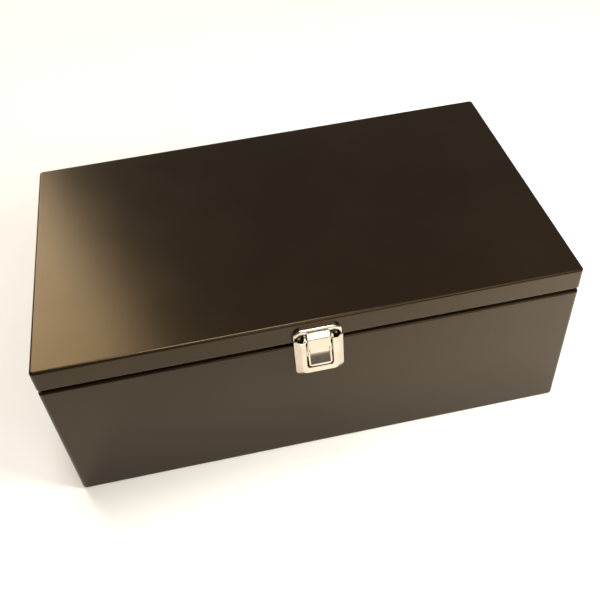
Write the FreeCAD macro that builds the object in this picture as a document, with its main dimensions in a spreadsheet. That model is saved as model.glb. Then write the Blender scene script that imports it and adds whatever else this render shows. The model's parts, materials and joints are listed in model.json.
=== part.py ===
"""Steel lunch box: a folded base and lid, two butt hinges, and a nickel-plated draw latch.

Frame: millimetres, +Z up, +X to the right, front towards -Y.  The origin is the middle of the
flat underside, between the front and back walls.  The latch pieces are modelled in a frame of
their own that stands on the front wall: x to the right, y up from the table, z out of the wall.
"""
import FreeCAD, Part
import math
import os
import re

import Sketcher

doc = FreeCAD.newDocument("LunchBox")

# ---------------------------------------------------------------------------------------------
# Driving dimensions, in millimetres (angles in degrees)
# ---------------------------------------------------------------------------------------------
SIZES = {
    # cuts: how far they run past the metal, and how far outside it they start
    "beyond": 40.0,
    "spare": 1.0,
    # box
    "width": 320.0,
    "depth": 190.0,
    "height": 118.0,
    "base_height": 100.0,
    "rim_gap": 2.6,
    "sheet_thick": 1.2,
    "flange": 10.0,
    "mouth_radius": 5.0,
    "corner_radius": 2.6,
    "foot_radius": 2.5,
    "lid_edge_radius": 1.8,
    "rim_radius": 1.1,
    # hinges
    "hinge_offset": 92.0,
    "hinge_width": 40.0,
    "leaf_thick": 1.0,
    "leaf_inset": 9.0,
    "axis_out": 2.5,
    "knuckle_radius": 2.1,
    "hinge_pin_radius": 1.0,
    "hinge_pin_end": 0.3,
    "hinge_pin_bevel": 0.25,
    "knuckle_gap": 0.3,
    "hinge_rivet_pitch": 13.0,
    "hinge_rivet_inset": 4.6,
    # rivets
    "rivet_radius": 1.2,
    "rivet_head": 2.0,
    "rivet_rise": 0.8,
    "small_rivet_radius": 0.8,
    "small_rivet_head": 1.35,
    "small_rivet_rise": 0.7,
    "head_round": 0.8,
    "tail_round": 0.7,
    "hole_play": 0.05,
    "pin_play": 0.04,
    # rim bumpers
    "bumper_radius": 2.6,
    "bumper_inset": 5.6,
    "bumper_play": 0.3,
    # latch frame, on the base
    "latch_width": 28.7,
    "latch_low": 77.8,
    "latch_high": 113.3,
    "latch_proud": 6.5,
    "latch_skirt": 3.7,
    "latch_bevel": 3.8,
    "latch_corner": 5.0,
    "face_corner": 2.8,
    "plate_thick": 0.8,
    "leg_top": 107.2,
    "window_width": 15.6,
    "window_low": 85.5,
    "window_corner": 2.0,
    "face_round": 0.4,
    "foot_flange": 7.0,
    "lid_play": 2.8,
    "backplate_width": 22.4,
    "backplate_low": 81.6,
    "backplate_high": 98.4,
    "backplate_corner": 1.0,
    "latch_rivet_x": 9.9,
    "latch_rivet_low": 83.9,
    "latch_rivet_high": 95.6,
    # ears and pivots
    "ear_inside": 7.6,
    "ear_high": 109.2,
    "ear_proud": 5.2,
    "ear_back": 2.2,
    "ear_bevel": 0.8,
    "lever_pin_high": 105.6,
    "lever_pin_proud": 3.6,
    "lever_pin_radius": 0.6,
    "lever_pin_half": 9.0,
    "hook_pin_high": 99.6,
    "hook_pin_proud": 4.0,
    "hook_pin_radius": 0.5,
    "cross_pin_bevel": 0.15,
    # lever
    "lever_width": 13.6,
    "lever_low": 88.4,
    "lever_proud": 6.1,
    "lip_proud": 7.8,
    "lever_corner": 2.0,
    "thumb_high": 96.3,
    "thumb_lip": 1.2,
    "cheek_thick": 0.75,
    "cheek_proud": 5.05,
    "cheek_back": 2.8,
    "cheek_bevel": 0.3,
    "pivot_round": 1.35,
    "pivot_neck": 0.6,
    "dish_side": 0.9,
    "dish_radius": 26.6,
    "dish_centre_high": 105.28,
    "dish_centre_proud": 29.0,
    # draw hook
    "hook_width": 12.8,
    "hook_low": 97.5,
    "hook_fold": 109.1,
    "hook_top": 111.9,
    "hook_proud": 6.3,
    "hook_tip_proud": 2.9,
    "hook_tip_edge": 0.5,
    "hook_tip_thick": 1.4,
    "hook_round": 0.5,
    "fold_round": 1.2,
    "eye_radius": 1.1,
    "eye_back": 4.4,
    "eye_neck": 1.8,
    "tongue_width": 11.7,
    "tongue_high": 102.2,
    # catch plate, on the lid
    "catch_low": 103.2,
    "catch_rim_proud": 2.4,
    "catch_rim_side": 1.1,
    "catch_rim_top": 2.4,
    "catch_rim_round": 1.2,
    "catch_margin": 0.3,
    "catch_window_corner": 0.5,
    "catch_window_in": 8.6,
    "catch_window_low": 106.9,
    "catch_lip_width": 10.0,
    "catch_lip_low": 107.9,
    "catch_lip_high": 110.5,
    "catch_lip_proud": 2.4,
    "catch_rivet_x": 11.0,
    "catch_rivet_high": 105.3,
}

sheet = doc.addObject("Spreadsheet::Sheet", "Sizes")
for row, (alias, value) in enumerate(SIZES.items(), start=1):
    sheet.set(f"A{row}", alias)
    sheet.set(f"B{row}", str(value))
    sheet.setAlias(f"B{row}", alias)
doc.recompute()

PARTS = []


# ---------------------------------------------------------------------------------------------
# Helpers: expressions, sketches and features
# ---------------------------------------------------------------------------------------------
def bound(expression):
    """The expression with each bare alias written as a reference to the sheet."""
    def refer(word):
        name = word.group()
        return f"Sizes.{name}" if name in SIZES else name
    return re.sub(r"[a-z_]+", refer, expression)


def number(expression):
    """The present value of an expression in the sheet's aliases."""
    return float(sheet.evalExpression(expression))


def new_body(label, x="0", y="0", z="0", turn=0):
    """A sub-part: a body placed at x, y, z and turned about its own X axis."""
    body = doc.addObject("PartDesign::Body", label)
    body.Label = label
    body.AllowCompound = True
    about_x = FreeCAD.Rotation(FreeCAD.Vector(1, 0, 0), turn)
    body.Placement = FreeCAD.Placement(FreeCAD.Vector(), about_x)
    for axis, expression in (("x", x), ("y", y), ("z", z)):
        body.setExpression(f"Placement.Base.{axis}", bound(expression))
    PARTS.append(body)
    return body


def wall_body(label, proud="0"):
    """A body in the latch frame, with its XY plane lying `proud` in front of the front wall."""
    return new_body(label, y=f"-depth / 2 - ({proud})", turn=90)


def origin_plane(body, role):
    return next(feature for feature in body.Origin.OriginFeatures if feature.Role == role)


def add_sketch(body, role="XY_Plane", lift="0"):
    """A sketch on one of the body's origin planes, lifted along the plane's normal."""
    sketch = body.newObject("Sketcher::SketchObject", body.Name + "_sketch")
    sketch.AttachmentSupport = [(origin_plane(body, role), "")]
    sketch.MapMode = "FlatFace"
    sketch.setExpression("AttachmentOffset.Base.z", bound(lift))
    return sketch


def bind(sketch, kind, places, expression):
    """Add a dimension and tie it to the sheet."""
    index = sketch.addConstraint(Sketcher.Constraint(kind, *places, number(expression)))
    sketch.setExpression(f"Constraints[{index}]", bound(expression))


def locate(sketch, geometry, point, across, up):
    bind(sketch, "DistanceX", (-1, 1, geometry, point), across)
    bind(sketch, "DistanceY", (-1, 1, geometry, point), up)


def draw_polygon(sketch, corners):
    """A closed polygon whose corners are pairs of expressions."""
    points = [FreeCAD.Vector(number(across), number(up), 0) for across, up in corners]
    lines = []
    for start, end in zip(points, points[1:] + points[:1]):
        lines.append(sketch.addGeometry(Part.LineSegment(start, end), False))
    for line, following in zip(lines, lines[1:] + lines[:1]):
        sketch.addConstraint(Sketcher.Constraint("Coincident", line, 2, following, 1))
    for line, (across, up) in zip(lines, corners):
        locate(sketch, line, 1, across, up)


def draw_circle(sketch, across, up, radius):
    centre = FreeCAD.Vector(number(across), number(up), 0)
    outline = Part.Circle(centre, FreeCAD.Vector(0, 0, 1), number(radius))
    circle = sketch.addGeometry(outline, False)
    locate(sketch, circle, 3, across, up)
    bind(sketch, "Radius", (circle,), radius)


def draw_rounded(sketch, left, right, low, high, radius):
    """A rectangle with four equal tangent corner arcs."""
    x_low, x_high = number(left), number(right)
    y_low, y_high = number(low), number(high)
    round_off = number(radius)
    middles = [(x_high - round_off, y_low + round_off),
               (x_high - round_off, y_high - round_off),
               (x_low + round_off, y_high - round_off),
               (x_low + round_off, y_low + round_off)]
    sides = [((x_low + round_off, y_low), (x_high - round_off, y_low)),
             ((x_high, y_low + round_off), (x_high, y_high - round_off)),
             ((x_high - round_off, y_high), (x_low + round_off, y_high)),
             ((x_low, y_high - round_off), (x_low, y_low + round_off))]
    lines = []
    for start, end in sides:
        segment = Part.LineSegment(FreeCAD.Vector(*start, 0), FreeCAD.Vector(*end, 0))
        lines.append(sketch.addGeometry(segment, False))
    arcs = []
    for turn, middle in enumerate(middles):
        circle = Part.Circle(FreeCAD.Vector(*middle, 0), FreeCAD.Vector(0, 0, 1), round_off)
        arc = Part.ArcOfCircle(circle, (turn - 1) * math.pi / 2, turn * math.pi / 2)
        arcs.append(sketch.addGeometry(arc, False))
    following = lines[1:] + lines[:1]
    for line, arc, after in zip(lines, arcs, following):
        sketch.addConstraint(Sketcher.Constraint("Tangent", line, 2, arc, 1))
        sketch.addConstraint(Sketcher.Constraint("Tangent", arc, 2, after, 1))
    for line, kind in zip(lines, ("Horizontal", "Vertical", "Horizontal", "Vertical")):
        sketch.addConstraint(Sketcher.Constraint(kind, line))
    for arc in arcs[1:]:
        sketch.addConstraint(Sketcher.Constraint("Equal", arcs[0], arc))
    bind(sketch, "Radius", (arcs[0],), radius)
    bind(sketch, "DistanceX", (-1, 1, lines[3], 1), left)
    bind(sketch, "DistanceX", (-1, 1, lines[1], 1), right)
    bind(sketch, "DistanceY", (-1, 1, lines[0], 1), low)
    bind(sketch, "DistanceY", (-1, 1, lines[2], 1), high)


def extrude(body, sketch, length, cut=False, forward=True, both_ways=False):
    """Pad the sketch along its plane's normal, or cut it; both_ways puts half on each side."""
    kind = "PartDesign::Pocket" if cut else "PartDesign::Pad"
    feature = body.newObject(kind, sketch.Name + "_run")
    feature.Profile = sketch
    if both_ways:
        feature.SideType = "Symmetric"
    feature.Reversed = (forward == cut)
    feature.setExpression("Length", bound(length))
    doc.recompute()
    return feature


def loft(body, sketches, cut=False):
    kind = "PartDesign::SubtractiveLoft" if cut else "PartDesign::AdditiveLoft"
    feature = body.newObject(kind, body.Name + "_loft")
    feature.Profile = sketches[0]
    feature.Sections = sketches[1:]
    feature.Ruled = True
    doc.recompute()
    return feature


def dress(body, kind, size, test):
    """Round or bevel every edge of the body's tip whose bounding box passes the test."""
    tip = body.Tip
    names = [f"Edge{index}" for index, edge in enumerate(tip.Shape.Edges, start=1) if test(edge)]
    feature = body.newObject(f"PartDesign::{kind}", f"{body.Name}_{kind}")
    feature.Base = (tip, names)
    feature.setExpression("Radius" if kind == "Fillet" else "Size", bound(size))
    doc.recompute()
    return feature


NEAR = 1e-4   # how closely an edge has to lie at a level


def lies_at(level, within=None):
    """A test for edges wholly at one Z, and closer to the middle than `within` if it is given."""
    def test(edge):
        box = edge.BoundBox
        level_now = number(level)
        flat = abs(box.ZMin - level_now) < NEAR and abs(box.ZMax - level_now) < NEAR
        inside = within is None or max(abs(box.XMin), abs(box.XMax)) < number(within)
        return flat and inside
    return test


def crosses_at(level, high):
    """A test for edges along X at one Z and one Y."""
    at_level = lies_at(level)
    return lambda edge: at_level(edge) and abs(edge.BoundBox.YMin - number(high)) < NEAR


# ---------------------------------------------------------------------------------------------
# Base and lid: sheet steel with four walls and a flange turned inwards all round the rim
# ---------------------------------------------------------------------------------------------
def draw_plan(sketch, inset, radius):
    """The box's plan, drawn in by `inset` on every side."""
    draw_rounded(sketch, f"-width / 2 + {inset}", f"width / 2 - {inset}",
                 f"-depth / 2 + {inset}", f"depth / 2 - {inset}", radius)


def hinge_rivet_centres(turned=False):
    """Rivet places on the rim flange; turned gives them for a body that is rolled upside down."""
    sign = "-" if turned else ""
    up = f"{sign}(depth / 2 - hinge_rivet_inset)"
    return [(f"{side} * hinge_offset + {along} * hinge_rivet_pitch", up)
            for side in (-1, 1) for along in (-1, 0, 1)]


def latch_rivet_centres():
    return [(f"{side} * latch_rivet_x", level)
            for side in (-1, 1) for level in ("latch_rivet_low", "latch_rivet_high")]


def catch_rivet_centres():
    return [(f"{side} * catch_rivet_x", "catch_rivet_high") for side in (-1, 1)]


def drill(body, role, lift, depth_of_cut, centres, radius):
    """Round holes from the lifted plane, cut against the plane's normal."""
    holes = add_sketch(body, role, lift)
    for across, up in centres:
        draw_circle(holes, across, up, f"{radius} + hole_play")
    extrude(body, holes, depth_of_cut, cut=True, forward=False)


def folded_tray(label, level, tall, open_edge, closed_edge, closed_radius, mouth_lift):
    """A tray with a flanged mouth; open_edge and closed_edge are its rim and its folded panel."""
    body = new_body(label, z=level)
    block = add_sketch(body)
    draw_plan(block, "0", "corner_radius")
    extrude(body, block, tall)
    dress(body, "Fillet", closed_radius, lies_at(closed_edge))
    dress(body, "Fillet", "rim_radius", lies_at(open_edge))
    hollow = add_sketch(body, lift="sheet_thick")
    draw_plan(hollow, "sheet_thick", "corner_radius - sheet_thick")
    extrude(body, hollow, f"{tall} - 2 * sheet_thick", cut=True)
    mouth = add_sketch(body, lift=mouth_lift)
    draw_plan(mouth, "flange", "mouth_radius")
    extrude(body, mouth, "sheet_thick", cut=True)
    return body


def make_base_shell():
    body = folded_tray("base_shell", "0", "base_height", "base_height", "0", "foot_radius",
                       "base_height - sheet_thick")
    inner_edges = lies_at("sheet_thick", within="width / 2 - sheet_thick / 2")
    dress(body, "Fillet", "foot_radius - sheet_thick", inner_edges)
    drill(body, "XY_Plane", "base_height", "2 * sheet_thick", hinge_rivet_centres(), "rivet_radius")
    drill(body, "XZ_Plane", "depth / 2", "2 * sheet_thick", latch_rivet_centres(),
          "small_rivet_radius")


def make_lid_shell():
    tall = "(height - base_height - rim_gap)"
    body = folded_tray("lid_shell", "base_height + rim_gap", tall, "0", tall, "lid_edge_radius",
                       "0")
    drill(body, "XY_Plane", "2 * sheet_thick", "3 * sheet_thick", hinge_rivet_centres(),
          "rivet_radius")
    centres = [(across, f"{up} - base_height - rim_gap") for across, up in catch_rivet_centres()]
    drill(body, "XZ_Plane", "depth / 2", "2 * sheet_thick", centres, "small_rivet_radius")


def make_rim_bumpers():
    """Two rubber buttons stuck on the base flange at its front corners."""
    body = new_body("rim_bumpers", z="base_height")
    discs = add_sketch(body)
    for side in (-1, 1):
        across = f"{side} * (width / 2 - bumper_inset)"
        draw_circle(discs, across, "-depth / 2 + bumper_inset", "bumper_radius")
    extrude(body, discs, "rim_gap - bumper_play")
    dress(body, "Fillet", "bumper_play * 2", lies_at("rim_gap - bumper_play"))


# ---------------------------------------------------------------------------------------------
# Butt hinges: leaves between the two flanges, knuckles just behind the back wall
# ---------------------------------------------------------------------------------------------
KNUCKLES = 5
KNUCKLE_PITCH = f"hinge_width / {KNUCKLES}"


def hinge_body(label, side):
    """A body whose X axis is the hinge's axis."""
    return new_body(label, x=f"{side} * hinge_offset", y="depth / 2 + axis_out",
                    z="base_height + rim_gap / 2")


def make_hinge_leaf(label, side, on_lid):
    """One leaf: the base leaf keeps the first, third and fifth knuckle."""
    body = hinge_body(label, side)
    sign = "" if on_lid else "-"
    near = f"{sign}(rim_gap / 2 - leaf_thick)"
    far = f"{sign}rim_gap / 2"
    inside = "-axis_out - leaf_inset"
    plate = add_sketch(body, "YZ_Plane")
    draw_polygon(plate, [(inside, near), ("0", near), ("0", far), (inside, far)])
    extrude(body, plate, "hinge_width", both_ways=True)
    barrel = add_sketch(body, "YZ_Plane")
    draw_circle(barrel, "0", "0", "knuckle_radius")
    extrude(body, barrel, "hinge_width", both_ways=True)
    gaps = add_sketch(body)
    back = "-knuckle_radius - knuckle_gap"
    front = "2 * knuckle_radius"
    for knuckle in range(KNUCKLES):
        if (knuckle % 2 == 0) == on_lid:
            centre = f"({knuckle} - {(KNUCKLES - 1) // 2}) * {KNUCKLE_PITCH}"
            left = f"{centre} - ({KNUCKLE_PITCH} + knuckle_gap) / 2"
            right = f"{centre} + ({KNUCKLE_PITCH} + knuckle_gap) / 2"
            draw_polygon(gaps, [(left, back), (right, back), (right, front), (left, front)])
    extrude(body, gaps, "beyond", cut=True, both_ways=True)
    bore = add_sketch(body, "YZ_Plane")
    draw_circle(bore, "0", "0", "hinge_pin_radius + pin_play")
    extrude(body, bore, "2 * hinge_width", cut=True, both_ways=True)
    holes = add_sketch(body)
    for along in (-1, 0, 1):
        draw_circle(holes, f"{along} * hinge_rivet_pitch", "-axis_out - hinge_rivet_inset",
                    "rivet_radius + hole_play")
    extrude(body, holes, "beyond", cut=True, both_ways=True)
    inner_face = lies_at(near)
    dress(body, "Chamfer", "rivet_rise",
          lambda edge: inner_face(edge) and isinstance(edge.Curve, Part.Circle))


def make_hinge_pin(label, side):
    """The pin, along X, with its ends bevelled."""
    body = hinge_body(label, side)
    section = add_sketch(body, "YZ_Plane")
    draw_circle(section, "0", "0", "hinge_pin_radius")
    extrude(body, section, "hinge_width + 2 * hinge_pin_end", both_ways=True)
    dress(body, "Chamfer", "hinge_pin_bevel", lambda edge: isinstance(edge.Curve, Part.Circle))


# ---------------------------------------------------------------------------------------------
# Rivets: each set is one body with its heads on the XY plane and its shanks going down
# ---------------------------------------------------------------------------------------------
COUNTERSINK = -45   # taper of a flush head, in degrees


def make_rivets(body, centres, grip, size, flush):
    """size is an alias stem; flush heads are countersunk, the others stand up as round heads."""
    shank, head, rise = f"{size}_radius", f"{size}_head", f"{size}_rise"

    def discs(lift, radius):
        sketch = add_sketch(body, lift=lift)
        for across, up in centres:
            draw_circle(sketch, across, up, radius)
        return sketch

    extrude(body, discs("0", shank), grip, forward=False)
    extrude(body, discs(f"-({grip})", head), rise, forward=False)
    dress(body, "Fillet", f"{rise} * tail_round", lies_at(f"-({grip}) - {rise}"))
    if flush:
        cone = extrude(body, discs("0", f"{shank} + {rise} - hole_play"), rise, forward=False)
        cone.TaperAngle = COUNTERSINK
    else:
        extrude(body, discs("0", head), rise)
        dress(body, "Fillet", f"{rise} * head_round", lies_at(rise))


def make_all_rivets():
    through_leaf = "leaf_thick + sheet_thick"
    base_set = new_body("hinge_base_rivets", z="base_height + leaf_thick")
    make_rivets(base_set, hinge_rivet_centres(), through_leaf, "rivet", True)
    lid_set = new_body("hinge_lid_rivets", z="base_height + rim_gap - leaf_thick", turn=180)
    make_rivets(lid_set, hinge_rivet_centres(turned=True), through_leaf, "rivet", True)
    make_rivets(wall_body("latch_rivets", "2 * plate_thick"), latch_rivet_centres(),
                "2 * plate_thick + sheet_thick", "small_rivet", False)
    make_rivets(wall_body("catch_rivets", "plate_thick"), catch_rivet_centres(),
                "plate_thick + sheet_thick", "small_rivet", False)


# ---------------------------------------------------------------------------------------------
# Draw latch, base side
# ---------------------------------------------------------------------------------------------
def make_latch_frame():
    """A pressed cover: bevelled flanks, two legs in front of the lid and a foot flange inside."""
    body = wall_body("latch_frame")

    def section(lift, inset, radius):
        sketch = add_sketch(body, lift=lift)
        draw_rounded(sketch, f"-latch_width / 2 + {inset}", f"latch_width / 2 - {inset}",
                     f"latch_low + {inset}", "latch_high + latch_corner", radius)
        return sketch

    def remove(right, low, high, start, run, radius=None):
        """Cut away a block that is symmetrical about the middle of the latch."""
        left = f"-({right})"
        sketch = add_sketch(body, lift=start)
        if radius:
            draw_rounded(sketch, left, right, low, high, radius)
        else:
            draw_polygon(sketch, [(left, low), (right, low), (right, high), (left, high)])
        extrude(body, sketch, run, cut=True)

    extrude(body, section("0", "0", "latch_corner"), "latch_skirt")
    loft(body, [section("latch_skirt", "0", "latch_corner"),
                section("latch_proud", "latch_bevel", "face_corner")])
    fold = "latch_skirt - plate_thick / 2"
    hollow = section("plate_thick", "plate_thick", "latch_corner - plate_thick")
    extrude(body, hollow, f"{fold} - plate_thick", cut=True)
    loft(body, [section(fold, "plate_thick", "latch_corner - plate_thick"),
                section("latch_proud - plate_thick", "latch_bevel + plate_thick / 2",
                        "face_corner - plate_thick")], cut=True)
    over = "latch_high + 2 * latch_corner"
    behind = "-spare"
    remove("latch_width", "leg_top", over, behind, "latch_proud + 2 * spare")
    remove("latch_width / 2 - foot_flange", "latch_low + foot_flange", over, behind,
           "plate_thick + 2 * spare")
    remove("window_width / 2", "window_low", over, "latch_proud / 2", "latch_proud",
           "window_corner")
    dress(body, "Fillet", "face_round", lies_at("latch_proud"))
    remove("latch_width", "base_height - rim_radius", over, behind, "lid_play + spare")
    drill(body, "XY_Plane", "plate_thick", "2 * plate_thick", latch_rivet_centres(),
          "small_rivet_radius")


def symmetric_profile(body, corners, across, cut=False):
    """A side profile in (height, proud) corners, run half of `across` each side of the middle."""
    sketch = add_sketch(body, "YZ_Plane")
    draw_polygon(sketch, corners)
    return extrude(body, sketch, across, cut=cut, both_ways=True)


def cross_hole(body, high, proud, radius):
    sketch = add_sketch(body, "YZ_Plane")
    draw_circle(sketch, high, proud, radius)
    extrude(body, sketch, "latch_width", cut=True, both_ways=True)


def make_latch_backplate():
    """A riveted plate with two ears that carry the lever's pin in front of the lid."""
    body = wall_body("latch_backplate")
    plate = add_sketch(body, lift="plate_thick")
    draw_rounded(plate, "-backplate_width / 2", "backplate_width / 2", "backplate_low",
                 "backplate_high", "backplate_corner")
    extrude(body, plate, "plate_thick")
    symmetric_profile(body, [
        ("latch_rivet_low + 2 * small_rivet_head", "1.5 * plate_thick"),
        ("backplate_high", "1.5 * plate_thick"),
        ("backplate_high + 2 * plate_thick", "ear_back"),
        ("ear_high", "ear_back"),
        ("ear_high", "ear_proud - ear_bevel"),
        ("ear_high - ear_bevel", "ear_proud"),
        ("backplate_high", "ear_proud"),
        ("latch_rivet_low + 2 * small_rivet_head", "2.5 * plate_thick")],
        "2 * (ear_inside + plate_thick)")
    between = "2 * ear_inside"
    symmetric_profile(body, [
        ("backplate_low - spare", "2 * plate_thick"),
        ("latch_high", "2 * plate_thick"),
        ("latch_high", "2 * latch_proud"),
        ("backplate_low - spare", "2 * latch_proud")], between, cut=True)
    symmetric_profile(body, [
        ("backplate_high", "0"),
        ("latch_high", "0"),
        ("latch_high", "2 * latch_proud"),
        ("backplate_high", "2 * latch_proud")], between, cut=True)
    cross_hole(body, "lever_pin_high", "lever_pin_proud", "lever_pin_radius + hole_play / 2")
    drill(body, "XY_Plane", "2 * plate_thick", "2 * plate_thick", latch_rivet_centres(),
          "small_rivet_radius")


def make_cross_pin(label, high, proud, radius, half):
    """A straight pin along X with bevelled ends."""
    body = wall_body(label)
    section = add_sketch(body, "YZ_Plane")
    draw_circle(section, high, proud, radius)
    extrude(body, section, f"2 * ({half})", both_ways=True)
    dress(body, "Chamfer", "cross_pin_bevel", lambda edge: isinstance(edge.Curve, Part.Circle))


def make_latch_lever():
    """The thumb lever: a dished pad below, and two cheeks that run up behind the draw hook."""
    body = wall_body("latch_lever")
    symmetric_profile(body, [
        ("lever_low", "lip_proud"),
        ("thumb_high", "lever_proud"),
        ("thumb_high", "cheek_back"),
        ("lever_low", "lip_proud - thumb_lip")], "lever_width")
    symmetric_profile(body, [
        ("thumb_high", "cheek_back"),
        ("hook_pin_high", "cheek_back"),
        ("lever_pin_high - pivot_neck", "lever_pin_proud - thumb_lip"),
        ("lever_pin_high - pivot_neck", "cheek_proud - cheek_bevel"),
        ("tongue_high - cheek_bevel", "cheek_proud"),
        ("tongue_high - spare", "lever_proud"),
        ("thumb_high", "lever_proud")], "lever_width")
    tip = add_sketch(body, "YZ_Plane")
    draw_circle(tip, "lever_pin_high", "lever_pin_proud", "pivot_round")
    extrude(body, tip, "lever_width", both_ways=True)
    symmetric_profile(body, [
        ("thumb_high", "0"),
        ("latch_high", "0"),
        ("latch_high", "2 * latch_proud"),
        ("thumb_high", "2 * latch_proud")], "lever_width - 2 * cheek_thick", cut=True)
    dish = add_sketch(body, "YZ_Plane")
    draw_circle(dish, "dish_centre_high", "dish_centre_proud", "dish_radius")
    extrude(body, dish, "lever_width - 2 * dish_side", cut=True, both_ways=True)
    corners = add_sketch(body, lift="-spare")
    draw_polygon(corners, [
        ("-lever_width", "lever_low - spare"),
        ("lever_width", "lever_low - spare"),
        ("lever_width", "latch_high"),
        ("-lever_width", "latch_high")])
    draw_rounded(corners, "-lever_width / 2", "lever_width / 2", "lever_low",
                 "latch_high - spare", "lever_corner")
    extrude(body, corners, "beyond", cut=True)
    cross_hole(body, "lever_pin_high", "lever_pin_proud", "lever_pin_radius + pin_play")
    cross_hole(body, "hook_pin_high", "hook_pin_proud", "hook_pin_radius + hole_play / 2")


def make_latch_draw_hook():
    """The draw hook: a flat plate, its eye behind it and its top end folded back to the catch."""
    body = wall_body("latch_draw_hook")
    inner = "hook_proud - plate_thick"
    symmetric_profile(body, [
        ("tongue_high", "hook_proud"),
        ("hook_fold", "hook_proud"),
        ("hook_top", "hook_tip_proud + hook_tip_edge"),
        ("hook_top", "hook_tip_proud"),
        ("hook_top - hook_tip_thick", "hook_tip_proud"),
        ("hook_top - hook_tip_thick", "hook_tip_proud + hook_tip_edge"),
        ("hook_fold - hook_tip_edge", inner),
        ("tongue_high", inner)], "hook_width")
    dress(body, "Fillet", "fold_round", crosses_at("hook_proud", "hook_fold"))
    symmetric_profile(body, [
        ("hook_low", "hook_proud"),
        ("tongue_high + spare", "hook_proud"),
        ("tongue_high + spare", inner),
        ("hook_pin_high + eye_neck", inner),
        ("hook_pin_high + eye_neck / 2", "eye_back"),
        ("hook_low + hook_tip_edge", "eye_back"),
        ("hook_low", inner)], "tongue_width")
    dress(body, "Fillet", "hook_round", crosses_at("hook_proud", "hook_low"))
    eye = add_sketch(body, "YZ_Plane")
    draw_circle(eye, "hook_pin_high", "hook_pin_proud", "eye_radius")
    extrude(body, eye, "tongue_width", both_ways=True)
    cross_hole(body, "hook_pin_high", "hook_pin_proud", "hook_pin_radius + pin_play")


# ---------------------------------------------------------------------------------------------
# Draw latch, lid side
# ---------------------------------------------------------------------------------------------
def make_catch_plate():
    """An arched plate with a raised rim, two corner windows and the lip that the hook draws on."""
    body = wall_body("catch_plate")

    below = "catch_low - 3 * latch_corner"

    def arch(lift, side, top):
        sketch = add_sketch(body, lift=lift)
        draw_rounded(sketch, f"-latch_width / 2 + {side}", f"latch_width / 2 - {side}",
                     below, f"latch_high - {top}", f"latch_corner - {side}")
        return sketch

    extrude(body, arch("0", "0", "0"), "catch_rim_proud")
    dress(body, "Fillet", "catch_rim_round", lies_at("catch_rim_proud"))
    extrude(body, arch("plate_thick", "catch_rim_side", "catch_rim_top"), "beyond", cut=True)
    skirt = add_sketch(body, lift="-spare")
    draw_polygon(skirt, [
        ("-latch_width", below),
        ("latch_width", below),
        ("latch_width", "catch_low"),
        ("-latch_width", "catch_low")])
    extrude(body, skirt, "beyond", cut=True)
    outside = "(latch_width / 2 - catch_rim_side - catch_margin)"
    for left, right in (("catch_window_in", outside), (f"-{outside}", "-catch_window_in")):
        window = add_sketch(body, lift="-spare")
        draw_rounded(window, left, right, "catch_window_low",
                     "latch_high - catch_rim_top - catch_margin", "catch_window_corner")
        extrude(body, window, "plate_thick + 2 * spare", cut=True)
    symmetric_profile(body, [
        ("catch_lip_low", "plate_thick / 2"),
        ("catch_lip_low", "catch_lip_proud"),
        ("catch_lip_high", "catch_lip_proud"),
        ("catch_lip_high", "catch_lip_proud - plate_thick"),
        ("catch_lip_low + plate_thick", "catch_lip_proud - plate_thick"),
        ("catch_lip_low + plate_thick", "plate_thick / 2")], "catch_lip_width")
    drill(body, "XY_Plane", "plate_thick", "2 * plate_thick", catch_rivet_centres(),
          "small_rivet_radius")


# ---------------------------------------------------------------------------------------------
# Build, check and write
# ---------------------------------------------------------------------------------------------
make_base_shell()
make_lid_shell()
make_rim_bumpers()
for side_name, side in (("left", -1), ("right", 1)):
    make_hinge_leaf(f"hinge_{side_name}_base_leaf", side, False)
    make_hinge_leaf(f"hinge_{side_name}_lid_leaf", side, True)
    make_hinge_pin(f"hinge_{side_name}_pin", side)
make_all_rivets()
make_latch_frame()
make_latch_backplate()
make_latch_lever()
make_latch_draw_hook()
make_cross_pin("latch_lever_pin", "lever_pin_high", "lever_pin_proud", "lever_pin_radius",
               "lever_pin_half")
make_cross_pin("latch_hook_pin", "hook_pin_high", "hook_pin_proud", "hook_pin_radius",
               "lever_width / 2")
make_catch_plate()
doc.recompute()

for item in doc.Objects:
    if "Invalid" in item.State or "Error" in item.State:
        raise RuntimeError(f"{item.Name} did not compute: {item.State}")
for part in PARTS:
    if part.Shape.isNull() or not part.Shape.isValid() or not part.Shape.Solids:
        raise RuntimeError(f"{part.Label} has no valid solid")

os.makedirs("parts", exist_ok=True)
for part in PARTS:
    part.Shape.exportStep(f"parts/{part.Label}.step")
    print(f"{part.Label:24s} {len(part.Shape.Solids)} solid(s) {part.Shape.Volume:10.1f} mm3")
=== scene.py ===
"""The lunch box as it looks: satin black coat, nickel-plated latch and hinges, plain studio."""
import json
import math

import bpy
from mathutils import Matrix, Vector

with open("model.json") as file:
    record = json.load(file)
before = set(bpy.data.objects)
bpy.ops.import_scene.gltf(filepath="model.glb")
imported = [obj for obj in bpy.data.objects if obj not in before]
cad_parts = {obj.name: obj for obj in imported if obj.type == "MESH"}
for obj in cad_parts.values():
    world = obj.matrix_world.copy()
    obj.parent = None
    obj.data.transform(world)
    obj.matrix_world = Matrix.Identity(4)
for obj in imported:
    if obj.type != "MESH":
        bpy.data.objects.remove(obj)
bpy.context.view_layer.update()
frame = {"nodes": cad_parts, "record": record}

MM = 0.001
UP = Vector((0, 0, 1))

# ---------------------------------------------------------------------------------------------
# Camera: above and a little left of the front, tilted slightly
# ---------------------------------------------------------------------------------------------
CAMERA_PLACE = Vector((-48.2, -390.3, 441.2)) * MM
CAMERA_HEADING = math.radians(7.744)     # to the right of +Y
CAMERA_DIP = math.radians(45.625)        # below the horizon
CAMERA_ROLL = math.radians(-5.059)
CAMERA_LENS = 47.11                      # focal length in mm
CAMERA_SENSOR = 36.0                     # width in mm


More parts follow.
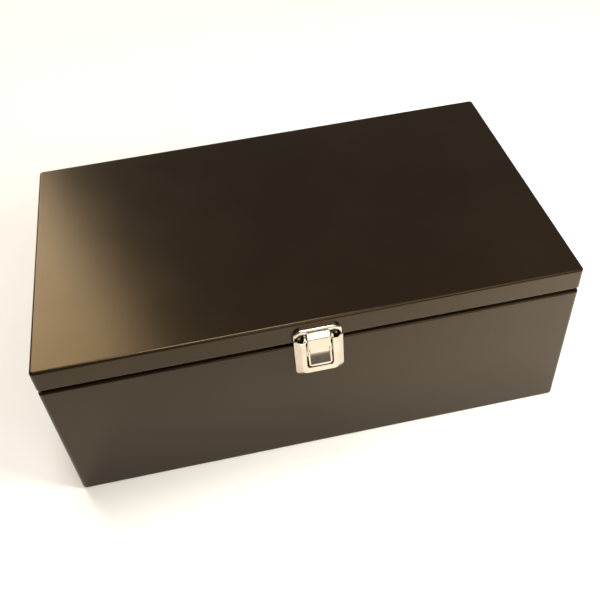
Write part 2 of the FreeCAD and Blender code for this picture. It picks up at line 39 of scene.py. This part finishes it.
def make_camera():
    data = bpy.data.cameras.new("camera")
    data.lens = CAMERA_LENS
    data.sensor_width = CAMERA_SENSOR
    camera = bpy.data.objects.new("camera", data)
    bpy.context.scene.collection.objects.link(camera)
    ahead = Vector((math.sin(CAMERA_HEADING) * math.cos(CAMERA_DIP),
                    math.cos(CAMERA_HEADING) * math.cos(CAMERA_DIP),
                    -math.sin(CAMERA_DIP)))
    level_right = ahead.cross(UP).normalized()
    level_up = level_right.cross(ahead)
    cosine = math.cos(CAMERA_ROLL)
    sine = math.sin(CAMERA_ROLL)
    right = cosine * level_right + sine * level_up
    up = -sine * level_right + cosine * level_up
    turn = Matrix((right, up, -ahead)).transposed()
    camera.matrix_world = Matrix.Translation(CAMERA_PLACE) @ turn.to_4x4()
    bpy.context.scene.camera = camera


# ---------------------------------------------------------------------------------------------
# Materials: colour, roughness and bump each follow a noise of their own
# ---------------------------------------------------------------------------------------------
MIDDLE_OF_NOISE = (0.3, 0.7)
MOST_OF_NOISE = (0.25, 0.75)
OPAQUE = 1.0


class Shader:
    """A short way to lay out a node material."""

    def __init__(self, name):
        self.material = bpy.data.materials.new(name)
        self.material.use_nodes = True
        self.tree = self.material.node_tree
        self.surface = self.tree.nodes["Principled BSDF"]
        self.relief = None

    def node(self, kind, **inputs):
        made = self.tree.nodes.new(kind)
        self.fill(made, inputs)
        return made

    def fill(self, node, inputs):
        for name, value in inputs.items():
            node.inputs[name.replace("_", " ")].default_value = value

    def link(self, source, target):
        self.tree.links.new(source, target)

    def noise(self, scale, detail=3.0, roughness=0.5, stretch=None):
        """A noise over object coordinates, which are metres in the frame."""
        place = self.node("ShaderNodeTexCoord").outputs["Object"]
        if stretch:
            mapping = self.node("ShaderNodeMapping", Scale=stretch)
            self.link(place, mapping.inputs["Vector"])
            place = mapping.outputs["Vector"]
        texture = self.node("ShaderNodeTexNoise", Scale=scale, Detail=detail, Roughness=roughness)
        self.link(place, texture.inputs["Vector"])
        return texture.outputs["Fac"]

    def colour(self, noise, dark, light, across=MIDDLE_OF_NOISE):
        """The base colour runs from dark to light across that part of the noise."""
        ramp = self.node("ShaderNodeValToRGB")
        for element, position, tone in zip(ramp.color_ramp.elements, across, (dark, light)):
            element.position = position
            element.color = (*tone, OPAQUE)
        self.link(noise, ramp.inputs["Fac"])
        self.link(ramp.outputs["Color"], self.surface.inputs["Base Color"])

    def roughness(self, noise, low, high):
        """The roughness runs from low to high with the noise."""
        spread = self.node("ShaderNodeMapRange", To_Min=low, To_Max=high)
        self.link(noise, spread.inputs["Value"])
        self.link(spread.outputs["Result"], self.surface.inputs["Roughness"])

    def bump(self, noise, depth, strength):
        """A relief of that depth in metres, over the relief already there."""
        made = self.node("ShaderNodeBump", Distance=depth, Strength=strength)
        self.link(noise, made.inputs["Height"])
        if self.relief:
            self.link(self.relief, made.inputs["Normal"])
        self.relief = made.outputs["Normal"]
        self.link(self.relief, self.surface.inputs["Normal"])

    def set(self, **values):
        self.fill(self.surface, values)


def powder_coat():
    """Satin black with a fine orange peel, faint cloudiness in its gloss and a warm cast."""
    shader = Shader("powder_coat")
    shader.colour(shader.noise(scale=14.0, detail=4.0),
                  dark=(0.0068, 0.0043, 0.0026), light=(0.0098, 0.0062, 0.0037))
    shader.roughness(shader.noise(scale=36.0, detail=5.0), low=0.17, high=0.24)
    shader.bump(shader.noise(scale=1300.0, detail=2.0), depth=0.06 * MM, strength=0.4)
    shader.bump(shader.noise(scale=2300.0, detail=2.0), depth=0.03 * MM, strength=0.5)
    shader.set(IOR=1.44, Specular_Tint=(1.0, 0.75, 0.43, OPAQUE))
    return shader.material


def nickel_plate():
    """Bright nickel with a warm tone, faint rolling marks and handling haze."""
    shader = Shader("nickel_plate")
    shader.colour(shader.noise(scale=160.0, detail=4.0),
                  dark=(0.58, 0.50, 0.40), light=(0.70, 0.62, 0.51), across=MOST_OF_NOISE)
    shader.roughness(shader.noise(scale=700.0, detail=5.0, roughness=0.65), low=0.08, high=0.2)
    rolling_marks = shader.noise(scale=1400.0, stretch=(0.25, 1.0, 1.0))
    shader.bump(rolling_marks, depth=0.02 * MM, strength=0.35)
    shader.bump(shader.noise(scale=150.0, detail=1.0), depth=0.12 * MM, strength=0.35)
    shader.set(Metallic=1.0)
    return shader.material


def bright_steel():
    """Plated pins and rivets: a cooler metal with a coarser haze."""
    shader = Shader("bright_steel")
    shader.colour(shader.noise(scale=500.0), dark=(0.52, 0.49, 0.44), light=(0.68, 0.64, 0.57))
    shader.roughness(shader.noise(scale=1500.0, detail=4.0), low=0.2, high=0.36)
    shader.bump(shader.noise(scale=2600.0), depth=0.02 * MM, strength=0.4)
    shader.set(Metallic=1.0)
    return shader.material


def black_rubber():
    """Matt rubber with a soft grain."""
    shader = Shader("black_rubber")
    shader.colour(shader.noise(scale=300.0),
                  dark=(0.012, 0.012, 0.012), light=(0.025, 0.024, 0.023))
    shader.roughness(shader.noise(scale=900.0), low=0.6, high=0.8)
    shader.bump(shader.noise(scale=1800.0), depth=0.04 * MM, strength=0.5)
    return shader.material


def studio_floor():
    """Pale warm grey with a barely uneven surface."""
    shader = Shader("studio_floor")
    shader.colour(shader.noise(scale=2.0), dark=(0.86, 0.855, 0.845), light=(0.88, 0.875, 0.865))
    shader.roughness(shader.noise(scale=5.0), low=0.7, high=0.8)
    shader.bump(shader.noise(scale=90.0), depth=0.2 * MM, strength=0.1)
    return shader.material


# ---------------------------------------------------------------------------------------------
# Studio: a pale floor, a dim warm world and four soft lights: one above, one high in front, a
# small one low at the front right and a warm one behind at the left, which the lid reflects
# ---------------------------------------------------------------------------------------------
FLOOR_REACH = 6.0
WORLD_COLOUR = (1.0, 0.96, 0.90, OPAQUE)
WORLD_STRENGTH = 0.2
BOX_AIM = Vector((0.0, 0.0, 0.08))
FRONT_RIGHT_AIM = Vector((0.18, -0.18, 0.0))


def make_floor():
    corners = [(-FLOOR_REACH, -FLOOR_REACH, 0),
               (FLOOR_REACH, -FLOOR_REACH, 0),
               (FLOOR_REACH, FLOOR_REACH, 0),
               (-FLOOR_REACH, FLOOR_REACH, 0)]
    mesh = bpy.data.meshes.new("floor")
    mesh.from_pydata(corners, [], [(0, 1, 2, 3)])
    floor = bpy.data.objects.new("floor", mesh)
    bpy.context.scene.collection.objects.link(floor)
    mesh.materials.append(studio_floor())


def area_light(name, place, aim, size, watts, colour, size_y=None):
    """A square light, or a rectangular one where size_y is given, facing its aim."""
    data = bpy.data.lights.new(name, "AREA")
    data.energy = watts
    data.color = colour
    data.size = size
    if size_y:
        data.shape = "RECTANGLE"
        data.size_y = size_y
    light = bpy.data.objects.new(name, data)
    bpy.context.scene.collection.objects.link(light)
    turn = (aim - Vector(place)).to_track_quat("-Z", "Y").to_matrix().to_4x4()
    light.matrix_world = Matrix.Translation(place) @ turn
    return light


def make_world():
    world = bpy.data.worlds.new("studio")
    world.use_nodes = True
    background = world.node_tree.nodes["Background"]
    background.inputs["Color"].default_value = WORLD_COLOUR
    background.inputs["Strength"].default_value = WORLD_STRENGTH
    bpy.context.scene.world = world


def make_studio():
    make_floor()
    make_world()
    bpy.context.scene.view_settings.view_transform = "Standard"
    area_light("front_top_light", place=(0.4, -1.15, 1.35), aim=BOX_AIM, size=1.0,
               watts=8.0, colour=(1.0, 0.97, 0.91))
    area_light("overhead_light", place=(-0.1, 0.35, 2.3), aim=BOX_AIM, size=0.8,
               watts=30.0, colour=(1.0, 0.97, 0.92))
    right_light = area_light("right_light", place=(0.52, -0.32, 0.36), aim=FRONT_RIGHT_AIM,
                             size=0.25, watts=7.5, colour=(1.0, 0.93, 0.82))
    right_light.visible_glossy = False
    area_light("back_left_light", place=(-0.75, 1.36, 1.34), aim=BOX_AIM, size=0.66, size_y=0.95,
               watts=16.0, colour=(1.0, 0.83, 0.60))


# ---------------------------------------------------------------------------------------------
# Carried-over CAD nodes and their finishes
# ---------------------------------------------------------------------------------------------
FINISHES = {
    "black_powder_coat": powder_coat,
    "nickel_plate": nickel_plate,
    "bright_steel": bright_steel,
    "black_rubber": black_rubber,
}


def finish_nodes():
    """Give each CAD node the material of its slot in the record."""
    made = {name: build() for name, build in FINISHES.items()}
    slots = {part["node"]: part["material_slot"] for part in frame["record"]["subparts"]}
    for name, node in frame["nodes"].items():
        for slot in node.material_slots:
            slot.material = made[slots[name]]


make_camera()
make_studio()
finish_nodes()
